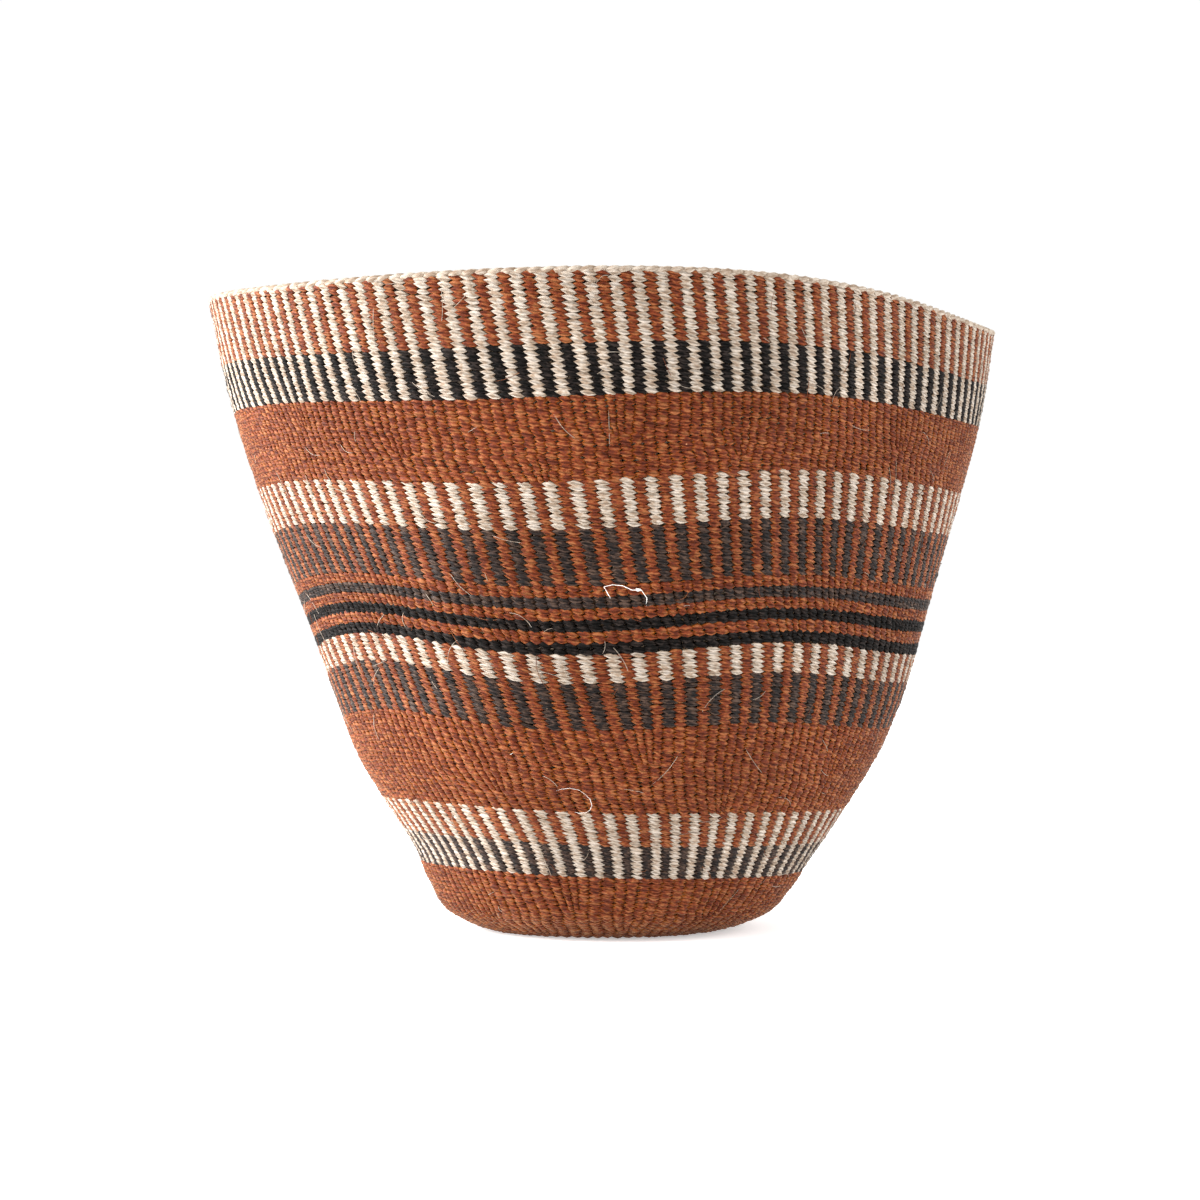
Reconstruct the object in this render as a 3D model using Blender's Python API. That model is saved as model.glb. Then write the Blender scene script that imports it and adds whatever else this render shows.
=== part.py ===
"""Kiondo basket: a round-mouthed sisal basket, twined in bands of colour over upright warp cords.

The wall is a sandwich, as twining makes it. The front strands of each band lie outside, the warp
cords stand in the middle, and the back strands lie inside. Every band is a ring of its own, the back
strands are a cup and the rings above it, the warp cords cross in a hub under the floor, and a
plaited rim closes the mouth.
Lengths are metres, Z is up, the front faces -Y and the basket stands on Z = 0.
"""

import math

import bmesh
import bpy
import numpy as np
from mathutils import Vector

# Overall sizes
MOUTH_WIDTH = 0.300
MOUTH_DEPTH = 0.290
REST_WIDTH = 0.088
REST_DEPTH = 0.084
BASKET_HEIGHT = 0.240

# The wall's three layers, and the clearance on each side of the warp cords
FRONT_STRAND_THICKNESS = 0.0015
WARP_THICKNESS = 0.0010
BACK_STRAND_THICKNESS = 0.0013
WARP_CLEARANCE = 0.0004
PIECE_GAP = 0.0003

# The plaited rim that sits on the wall's top edge
RIM_HEIGHT = 0.0028
RIM_OVERHANG = 0.0004

# The base: a start knot in a twined disc, with the hub where the warp cords cross above it
START_KNOT_RADIUS = 0.010
WARP_HUB_RADIUS = 0.014
WARP_WIDTH = 0.0016

# How far the handmade shape strays from a true turned one
WALL_LEAN = 0.0065
FOOT_TILT = 0.0015
LEFT_RISE = 0.0080
RIGHT_RISE = 0.0045
FRONT_DIP = 0.0022
CORNER_DROP = 0.0130
MOUTH_SKEW_SHARE = 0.035

# Steps round every ring, one warp cord for each
AROUND_STEPS = 36
RIM_SIDES = 8

# Wall profile from the foot's edge to the rim: share of the height, and share of the growth
# from the resting width to the mouth width
WALL_PROFILE_SHARES = [
    (0.000, 0.000), (0.004, 0.038), (0.019, 0.127), (0.0675, 0.236), (0.115, 0.294), (0.195, 0.412),
    (0.276, 0.523), (0.356, 0.600), (0.516, 0.719), (0.676, 0.838), (0.837, 0.936), (1.000, 1.000),
]

# Shares by height of each way that the shape strays
LEAN_SHARES = [
    (0.00, 0.00), (0.12, 0.45), (0.24, 0.55), (0.36, 0.75), (0.60, 0.50), (0.84, 0.20), (1.00, 0.00),
]
TILT_SHARES = [(0.00, 0.00), (0.06, 1.00), (0.30, 1.00), (0.50, 0.00), (1.00, 0.00)]
LEFT_RISE_SHARES = [
    (0.00, 0.00), (0.10, 0.05), (0.25, 0.30), (0.36, 0.95), (0.46, 1.00),
    (0.56, 0.70), (0.70, 0.35), (0.82, 0.10), (0.90, -0.15), (1.00, -0.30),
]
RIGHT_RISE_SHARES = [
    (0.00, 0.00), (0.15, 0.05), (0.25, 0.30), (0.36, 0.95), (0.46, 1.10),
    (0.56, 0.90), (0.70, 0.90), (0.82, 0.45), (0.90, 0.20), (1.00, 0.00),
]
DIP_SHARES = [
    (0.00, 0.00), (0.25, 0.00), (0.36, 0.35), (0.60, 0.65), (0.82, 0.95), (0.90, 1.00), (1.00, 0.50),
]
DROP_SHARES = [(0.00, 0.00), (0.50, 0.10), (0.70, 0.15), (0.82, 0.45), (0.90, 0.65), (1.00, 1.00)]

# Where round the basket each stray is centred, and how wide it is, in degrees from +X
LEFT_RISE_ANGLE, LEFT_RISE_SPREAD = -141.0, 27.0
RIGHT_RISE_ANGLE, RIGHT_RISE_SPREAD = -58.0, 26.0
DIP_ANGLE, DIP_SPREAD = -114.0, 28.0
DROP_ANGLE, DROP_SPREAD = -14.0, 37.0

# Colours of the dyed and undyed sisal
FINISHES = {
    "sisal_rust": (0.22, 0.050, 0.018),
    "sisal_black": (0.012, 0.010, 0.010),
    "sisal_charcoal": (0.036, 0.022, 0.016),
    "sisal_natural": (0.60, 0.50, 0.40),
    "sisal_natural_and_rust": (0.38, 0.24, 0.17),
    "sisal_natural_and_black": (0.28, 0.23, 0.19),
    "sisal_charcoal_and_rust": (0.12, 0.035, 0.017),
}
SISAL_ROUGHNESS = 0.78

# Edges sharper than this stay sharp under smooth shading
SHARP_DEGREES = 40.0

# The bands from the foot up, and the strands that each is twined from
BAND_FINISHES = {
    "band_rust_foot": "sisal_rust",
    "band_natural_black_foot": "sisal_natural_and_black",
    "band_natural_rust_foot": "sisal_natural_and_rust",
    "band_rust_lower": "sisal_rust",
    "band_charcoal_rust_lower": "sisal_charcoal_and_rust",
    "band_natural_rust_middle": "sisal_natural_and_rust",
    "line_black_lower": "sisal_black",
    "line_rust_lower": "sisal_rust",
    "line_black_upper": "sisal_black",
    "line_rust_middle": "sisal_rust",
    "line_charcoal": "sisal_charcoal",
    "line_rust_upper": "sisal_rust",
    "band_charcoal_rust_upper": "sisal_charcoal_and_rust",
    "band_natural_rust_upper": "sisal_natural_and_rust",
    "band_rust_upper": "sisal_rust",
    "band_natural_black_upper": "sisal_natural_and_black",
    "band_natural_rust_rim": "sisal_natural_and_rust",
}

# The share of the height at each band's top edge, from the foot up
BAND_TOP_SHARES = [
    0.102, 0.152, 0.203, 0.328, 0.398, 0.441,
    0.458, 0.475, 0.492, 0.509, 0.526, 0.543,
    0.626, 0.696, 0.818, 0.894, 1.000,
]
BAND_TOPS = dict(zip(BAND_FINISHES, BAND_TOP_SHARES))

# The taller bands, each named once for every bend that it takes with the wall
BANDS_WITH_BENDS = [
    "band_rust_lower",
    "band_rust_lower",
    "band_charcoal_rust_lower",
    "band_charcoal_rust_upper",
    "band_rust_upper",
    "band_natural_rust_rim",
]

# Steps up the tight curve of the foot, as shares of the height
FOOT_CURVE_SHARES = [0.008, 0.019, 0.042, 0.068]

# The two inner layers bend where these bands end
LAYER_BENDS = [
    "band_rust_foot", "band_natural_black_foot", "band_natural_rust_foot", "band_rust_lower",
    "band_natural_rust_middle", "line_rust_upper", "band_natural_rust_upper", "band_rust_upper",
]

# The back strands from the floor up: each piece, and the band that it ends level with
INNER_ENDS = {
    "inner_floor_and_foot": "band_rust_foot",
    "inner_foot_bands": "band_natural_rust_foot",
    "inner_lower_bands": "band_natural_rust_middle",
    "inner_lines": "line_rust_upper",
    "inner_upper_bands": "band_rust_upper",
    "inner_rim_bands": "band_natural_rust_rim",
}
INNER_FINISHES = {
    "inner_floor_and_foot": "sisal_rust",
    "inner_foot_bands": "sisal_natural_and_black",
    "inner_lower_bands": "sisal_charcoal_and_rust",
    "inner_lines": "sisal_black",
    "inner_upper_bands": "sisal_rust",
    "inner_rim_bands": "sisal_natural_and_rust",
}

WALL_THICKNESS = FRONT_STRAND_THICKNESS + WARP_THICKNESS + BACK_STRAND_THICKNESS + 2 * WARP_CLEARANCE
WARP_DEPTH = FRONT_STRAND_THICKNESS + WARP_CLEARANCE
BACK_STRAND_DEPTH = WALL_THICKNESS - BACK_STRAND_THICKNESS
WALL_TOP = (BASKET_HEIGHT - RIM_HEIGHT - PIECE_GAP) / BASKET_HEIGHT
GAP_SHARE = PIECE_GAP / BASKET_HEIGHT
SLOPE_STEP_SHARE = 0.002
STEP_ANGLES = [2 * math.pi * step / AROUND_STEPS for step in range(AROUND_STEPS)]


def read_shares(table, share):
    """Read a table of shares at one place, on a smooth curve through its points."""
    places = np.array([row[0] for row in table])
    values = np.array([row[1] for row in table])
    slopes = np.gradient(values, places)
    share = min(max(share, places[0]), places[-1])
    index = min(int(np.searchsorted(places, share, side="right")) - 1, len(places) - 2)
    step = places[index + 1] - places[index]
    along = (share - places[index]) / step
    rise = values[index + 1] - values[index]
    start_slope = slopes[index] * step
    end_slope = slopes[index + 1] * step
    curve = (start_slope + end_slope - 2 * rise) * along**3
    curve += (3 * rise - 2 * start_slope - end_slope) * along**2
    return float(values[index] + start_slope * along + curve)


def bump(angle, centre_degrees, spread_degrees):
    """One smooth hump round the basket, 1 at its centre."""
    turn = math.remainder(angle - math.radians(centre_degrees), 2 * math.pi)
    return math.exp(-((turn / math.radians(spread_degrees)) ** 2))


def row_rise(angle, share):
    """How far the handmade rows rise above a level line."""
    rise = -FOOT_TILT * read_shares(TILT_SHARES, share) * math.cos(angle)
    left = LEFT_RISE * read_shares(LEFT_RISE_SHARES, share)
    right = RIGHT_RISE * read_shares(RIGHT_RISE_SHARES, share)
    dip = FRONT_DIP * read_shares(DIP_SHARES, share)
    drop = CORNER_DROP * read_shares(DROP_SHARES, share)
    rise += left * bump(angle, LEFT_RISE_ANGLE, LEFT_RISE_SPREAD)
    rise += right * bump(angle, RIGHT_RISE_ANGLE, RIGHT_RISE_SPREAD)
    rise -= dip * bump(angle, DIP_ANGLE, DIP_SPREAD)
    rise -= drop * bump(angle, DROP_ANGLE, DROP_SPREAD)
    return rise


def growth(share):
    """Share of the growth from foot to mouth; below zero the base narrows to its centre."""
    return read_shares(WALL_PROFILE_SHARES, max(share, 0.0))


def half_sizes(share):
    """Half width, half depth and height of the outer surface; shares from -1 to 0 are the base."""
    grown = growth(share)
    half_width = (REST_WIDTH + (MOUTH_WIDTH - REST_WIDTH) * grown) / 2
    half_depth = (REST_DEPTH + (MOUTH_DEPTH - REST_DEPTH) * grown) / 2
    inward = min(share, 0.0)
    return half_width * (1 + inward), half_depth * (1 + inward), BASKET_HEIGHT * max(share, 0.0)


def inward_direction(share):
    """Direction from the outer surface into the wall, as its outward and upward parts."""
    before = max(share - SLOPE_STEP_SHARE, -1.0)
    low = half_sizes(before)
    high = half_sizes(share + SLOPE_STEP_SHARE)
    run = high[0] - low[0]
    climb = high[2] - low[2]
    length = math.hypot(run, climb)
    return -climb / length, run / length


def free_point(angle, share, depth):
    """A point in the wall or base before the whole basket is centred."""
    half_width, half_depth, height = half_sizes(share)
    outward, upward = inward_direction(share)
    skew = 1 + MOUTH_SKEW_SHARE * growth(share) ** 2 * math.sin(2 * angle)
    lean = WALL_LEAN * read_shares(LEAN_SHARES, max(share, 0.0))
    return np.array([
        math.cos(angle) * (half_width * skew + outward * depth) + lean,
        math.sin(angle) * (half_depth * skew + outward * depth),
        height + row_rise(angle, share) + upward * depth,
    ])


def basket_centre():
    """Middle of the mouth, so that the basket's box is centred on the origin."""
    ring = np.array([free_point(angle, WALL_TOP, -RIM_OVERHANG) for angle in STEP_ANGLES])
    middle = (ring.min(axis=0) + ring.max(axis=0)) / 2
    return np.array([middle[0], middle[1], 0.0])


CENTRE = basket_centre()


def wall_point(angle, share, depth):
    """A point in the wall or base, this deep below the outer surface."""
    return free_point(angle, share, depth) - CENTRE


def wall_loop(share, depth):
    """A closed loop of points round the basket."""
    return [wall_point(angle, share, depth) for angle in STEP_ANGLES]


def rim_loop(side):
    """One edge of the rim's rounded section, which sits on the wall's top edge."""
    turn = 2 * math.pi * (side + 1 / 2) / RIM_SIDES
    half_width = WALL_THICKNESS / 2 + RIM_OVERHANG
    depth = WALL_THICKNESS / 2 - half_width * math.cos(turn)
    flat = math.sin(math.pi / 2 - math.pi / RIM_SIDES)
    lift = PIECE_GAP + RIM_HEIGHT / 2 * (1 + math.sin(turn) / flat)
    points = []
    for angle in STEP_ANGLES:
        point = wall_point(angle, WALL_TOP, depth)
        seat = wall_point(angle, WALL_TOP, WALL_THICKNESS / 2)
        points.append(np.array([point[0], point[1], seat[2] + lift]))
    return points


def loop_edges(loop):
    """The edges that join a closed loop's vertices in turn."""
    edges = []
    for vertex, following in zip(loop, loop[1:] + loop[:1]):
        edges.append(next(edge for edge in vertex.link_edges if edge.other_vert(vertex) is following))
    return edges


def start_loop(shape, points):
    """Begin a piece with one circle of vertices, moved to the loop's points."""
    loop = bmesh.ops.create_circle(shape, segments=len(points), radius=MOUTH_WIDTH)["verts"]
    for vertex, point in zip(loop, points):
        vertex.co = point
    return loop


def next_loop(shape, loop, points):
    """Extrude the last loop and move the new one to its points."""
    grown = bmesh.ops.extrude_edge_only(shape, edges=loop_edges(loop))["geom"]
    fresh = {item for item in grown if isinstance(item, bmesh.types.BMVert)}
    following = []
    for vertex, point in zip(loop, points):
        partner = next(
            edge.other_vert(vertex) for edge in vertex.link_edges if edge.other_vert(vertex) in fresh
        )
        partner.co = point
        following.append(partner)
    return following


def closed_ring(shape, loops):
    """Skin a ring through its section's loops, the last joined back to the first."""
    first = start_loop(shape, loops[0])
    loop = first
    for points in loops[1:] + loops[:1]:
        loop = next_loop(shape, loop, points)
    bmesh.ops.weld_verts(shape, targetmap=dict(zip(loop, first)))


def capped_stack(shape, loops):
    """Skin a piece through its loops and close both ends with a flat cap."""
    first = start_loop(shape, loops[0])
    loop = first
    for points in loops[1:]:
        loop = next_loop(shape, loop, points)
    shape.faces.new(first)
    shape.faces.new(loop)


def finish_piece(name, shape, finish):
    """Turn a bmesh into a named object with its own sisal material."""
    bmesh.ops.recalc_face_normals(shape, faces=shape.faces[:])
    mesh = bpy.data.meshes.new(name)
    shape.to_mesh(mesh)
    shape.free()
    mesh.shade_smooth()
    mesh.set_sharp_from_angle(angle=math.radians(SHARP_DEGREES))
    piece = bpy.data.objects.new(name, mesh)
    bpy.context.scene.collection.objects.link(piece)
    material = bpy.data.materials.new(name)
    material.use_nodes = True
    shader = material.node_tree.nodes["Principled BSDF"]
    shader.inputs["Base Color"].default_value = (*FINISHES[finish], 1.0)
    shader.inputs["Roughness"].default_value = SISAL_ROUGHNESS
    shader.inputs["Metallic"].default_value = 0.0
    mesh.materials.append(material)


def even_shares(low, high, steps):
    """Places from one height to another in equal steps."""
    return [low + (high - low) * step / steps for step in range(steps + 1)]


def band_levels(low, high, steps):
    """The heights of a band's loops, close together on the foot's curve."""
    if low > 0.0:
        return even_shares(low, high, steps)
    return [low] + FOOT_CURVE_SHARES + [high]


def make_ring(name, levels, depths, finish):
    """A ring through these heights, between two depths of the wall."""
    outside = [wall_loop(share, depths[0]) for share in levels]
    inside = [wall_loop(share, depths[1]) for share in reversed(levels)]
    shape = bmesh.new()
    closed_ring(shape, outside + inside)
    finish_piece(name, shape, finish)


def make_bands():
    """All the bands of front strands, with a small gap from each to the next."""
    low = 0.0
    for name, top_edge in BAND_TOPS.items():
        high = min(top_edge - GAP_SHARE / 2, WALL_TOP)
        levels = band_levels(low, high, 1 + BANDS_WITH_BENDS.count(name))
        make_ring(name, levels, (0.0, FRONT_STRAND_THICKNESS), BAND_FINISHES[name])
        low = top_edge + GAP_SHARE / 2


def layer_levels():
    """The heights that the warp cords and the back strands bend at."""
    bends = [BAND_TOPS[name] for name in LAYER_BENDS]
    return [0.0] + FOOT_CURVE_SHARES + bends + [WALL_TOP]


def base_share(radius):
    """Place on the base at a distance from its centre, from -1 at the centre to 0 at the edge."""
    return 2 * radius / REST_WIDTH - 1


def make_inner_floor(name, high):
    """The back strands of the base and the foot, an open cup."""
    floor = base_share(REST_WIDTH / 2 - WALL_THICKNESS)
    levels = [floor] + [share for share in layer_levels() if share < high] + [high]
    outside = [wall_loop(share, BACK_STRAND_DEPTH) for share in levels]
    inside = [wall_loop(share, WALL_THICKNESS) for share in reversed(levels)]
    shape = bmesh.new()
    capped_stack(shape, outside + inside)
    finish_piece(name, shape, INNER_FINISHES[name])


def make_back_strands():
    """The back strands of every row, which line the basket with a cup and the rings above it."""
    low = None
    for name, end in INNER_ENDS.items():
        high = min(BAND_TOPS[end] - GAP_SHARE / 2, WALL_TOP)
        if low is None:
            make_inner_floor(name, high)
        else:
            levels = [low] + [share for share in layer_levels() if low < share < high] + [high]
            make_ring(name, levels, (BACK_STRAND_DEPTH, WALL_THICKNESS), INNER_FINISHES[name])
        low = BAND_TOPS[end] + GAP_SHARE / 2


def make_base():
    """The start knot and the twined disc around it, flat on the table."""
    knot_edge = base_share(START_KNOT_RADIUS)
    disc_start = base_share(START_KNOT_RADIUS + PIECE_GAP)
    disc_end = base_share(REST_WIDTH / 2 - PIECE_GAP)
    foot_lean = FRONT_STRAND_THICKNESS * inward_direction(0.0)[0]
    disc_top_end = base_share(REST_WIDTH / 2 - PIECE_GAP + foot_lean)
    shape = bmesh.new()
    capped_stack(shape, [wall_loop(knot_edge, 0.0), wall_loop(knot_edge, FRONT_STRAND_THICKNESS)])
    finish_piece("base_start_knot", shape, "sisal_rust")
    section = [(disc_start, 0.0), (disc_end, 0.0), (disc_top_end, FRONT_STRAND_THICKNESS),
               (disc_start, FRONT_STRAND_THICKNESS)]
    shape = bmesh.new()
    closed_ring(shape, [wall_loop(share, depth) for share, depth in section])
    finish_piece("base_twining", shape, "sisal_rust")


def spoke_corner(angle, share, side, depth, half_width):
    """One corner of a warp cord's flat section."""
    point = wall_point(angle, share, depth)
    return point + side * half_width * np.array([-math.sin(angle), math.cos(angle), 0.0])


def make_warps():
    """The upright warp cords: they cross in a hub under the floor and turn up the wall to the rim."""
    hub = base_share(WARP_HUB_RADIUS)
    depths = (WARP_DEPTH, WARP_DEPTH + WARP_THICKNESS)
    hub_half_width = WARP_HUB_RADIUS * math.sin(math.pi / (2 * AROUND_STEPS))
    shape = bmesh.new()
    stations = [(hub, hub_half_width), (base_share(REST_WIDTH / 4), WARP_WIDTH / 2)]
    stations += [(share, WARP_WIDTH / 2) for share in layer_levels()]
    loops = []
    for depth in depths:
        corners = []
        for angle in STEP_ANGLES:
            corners.append(spoke_corner(angle, hub, -1, depth, hub_half_width))
            corners.append(spoke_corner(angle, hub, 1, depth, hub_half_width))
        loops.append(corners)
    capped_stack(shape, loops)
    shape.faces.ensure_lookup_table()
    ends = []
    for angle in STEP_ANGLES:
        middle = wall_point(angle, hub, sum(depths) / 2)
        sides = [face for face in shape.faces if len(face.verts) == 4]
        ends.append(min(sides, key=lambda face: (face.calc_center_median() - Vector(middle)).length))
    for share, half_width in stations[1:]:
        ends = [
            grow_spoke(shape, face, angle, share, half_width, depths)
            for face, angle in zip(ends, STEP_ANGLES)
        ]
    finish_piece("warp_cords", shape, "sisal_natural")


def grow_spoke(shape, face, angle, share, half_width, depths):
    """Extrude a warp cord's end face to its next station."""
    end = bmesh.ops.extrude_discrete_faces(shape, faces=[face])["faces"][0]
    across = Vector((-math.sin(angle), math.cos(angle), 0.0))
    centre = end.calc_center_median()
    inward = Vector(wall_point(angle, share, depths[1]) - wall_point(angle, share, depths[0]))
    for corner in end.verts:
        offset = corner.co - centre
        side = 1 if offset.dot(across) > 0 else -1
        depth = depths[1] if offset.dot(inward) > 0 else depths[0]
        corner.co = spoke_corner(angle, share, side, depth, half_width)
    return end


def make_rim():
    """The plaited rim, a rounded ring on the wall's top edge."""
    shape = bmesh.new()
    closed_ring(shape, [rim_loop(side) for side in range(RIM_SIDES)])
    finish_piece("rim_braid", shape, "sisal_natural")


def main():
    for old in list(bpy.data.objects):
        bpy.data.objects.remove(old)
    make_base()
    make_warps()
    make_back_strands()
    make_bands()
    make_rim()


main()
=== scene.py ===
"""Looks of a kiondo basket, a round-mouthed basket twined from dyed and undyed sisal cord.

Every row of twining is laid stitch by stitch on the wall's surface: the front strand of each
stitch outside, the back strand inside, and the warp cords between them. The rim is a plait.
Lengths are metres unless a name says otherwise, Z is up, and the front faces -Y.
"""

import logging
import math
from dataclasses import dataclass, field
from enum import Enum

import bmesh
import bpy
import numpy as np
from mathutils import Matrix, Vector


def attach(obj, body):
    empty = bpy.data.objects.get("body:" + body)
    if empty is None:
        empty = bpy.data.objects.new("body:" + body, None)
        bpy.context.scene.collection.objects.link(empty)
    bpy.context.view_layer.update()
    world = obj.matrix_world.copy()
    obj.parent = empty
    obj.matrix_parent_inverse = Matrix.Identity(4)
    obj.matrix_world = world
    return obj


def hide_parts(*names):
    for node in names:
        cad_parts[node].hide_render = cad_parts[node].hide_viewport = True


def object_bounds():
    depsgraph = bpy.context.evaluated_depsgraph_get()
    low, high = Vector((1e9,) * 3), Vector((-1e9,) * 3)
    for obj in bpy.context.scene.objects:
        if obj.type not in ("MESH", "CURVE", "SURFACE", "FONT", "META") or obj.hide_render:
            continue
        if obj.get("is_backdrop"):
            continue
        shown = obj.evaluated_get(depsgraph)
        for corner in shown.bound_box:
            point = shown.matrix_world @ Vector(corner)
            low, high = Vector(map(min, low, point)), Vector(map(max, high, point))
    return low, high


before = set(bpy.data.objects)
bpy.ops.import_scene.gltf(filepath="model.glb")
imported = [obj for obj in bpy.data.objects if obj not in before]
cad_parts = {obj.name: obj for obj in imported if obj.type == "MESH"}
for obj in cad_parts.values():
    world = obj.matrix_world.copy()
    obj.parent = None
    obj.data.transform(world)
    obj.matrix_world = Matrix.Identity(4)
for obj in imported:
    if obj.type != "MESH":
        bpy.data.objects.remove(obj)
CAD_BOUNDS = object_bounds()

LOG = logging.getLogger("kiondo_basket")
BODY = "root"
MILLIMETRE = 0.001
FULL_TURN = 2 * math.pi
STRAND_MAP = "strand"
TINT = "tint"
# Attribute by which the materials paint shade where a cord dives below its neighbours.
RIDGE = "ridge"

Table = list[tuple[float, float]]


def linear_colour(hex_code: str) -> tuple[float, float, float, float]:
    """Turn an sRGB hex colour into the linear colour that a shader socket takes.

    Args:
        hex_code: Six hex digits, red first.

    Returns:
        Linear red, green, blue, and an alpha of 1.
    """
    channels = [int(hex_code[place:place + 2], 16) / 255 for place in (0, 2, 4)]
    linear = [c / 12.92 if c <= 0.04045 else ((c + 0.055) / 1.055) ** 2.4 for c in channels]
    return linear[0], linear[1], linear[2], 1.0


def add_node(
    tree: bpy.types.NodeTree,
    kind: str,
    settings: dict[str, object] | None = None,
    values: dict[str | int, object] | None = None,
    links: dict[str | int, bpy.types.NodeSocket] | None = None,
) -> bpy.types.Node:
    """Add one node to a tree.

    Args:
        tree: The node tree.
        kind: The node's type, such as ShaderNodeMath.
        settings: The node's own properties.
        values: Values for its input sockets, by name or number.
        links: Output sockets to link into its inputs, by name or number.

    Returns:
        The new node.
    """
    node = tree.nodes.new(kind)
    for name, value in (settings or {}).items():
        setattr(node, name, value)
    for name, value in (values or {}).items():
        node.inputs[name].default_value = value
    for name, socket in (links or {}).items():
        tree.links.new(socket, node.inputs[name])
    return node


def read_table(table: Table, places: np.ndarray) -> np.ndarray:
    """Read a table on a smooth curve through its points.

    Args:
        table: Places and values, in rising order of place.
        places: Where to read it.

    Returns:
        The value at each place.
    """
    xs, ys = np.array(table).T
    slopes = np.gradient(ys, xs)
    places = np.clip(places, xs[0], xs[-1])
    index = np.clip(np.searchsorted(xs, places, side="right") - 1, 0, len(xs) - 2)
    step = xs[index + 1] - xs[index]
    along = (places - xs[index]) / step
    rise = ys[index + 1] - ys[index]
    start, end = slopes[index] * step, slopes[index + 1] * step
    cubic = (start + end - 2 * rise) * along**3 + (3 * rise - 2 * start - end) * along**2
    return ys[index] + start * along + cubic


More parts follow.
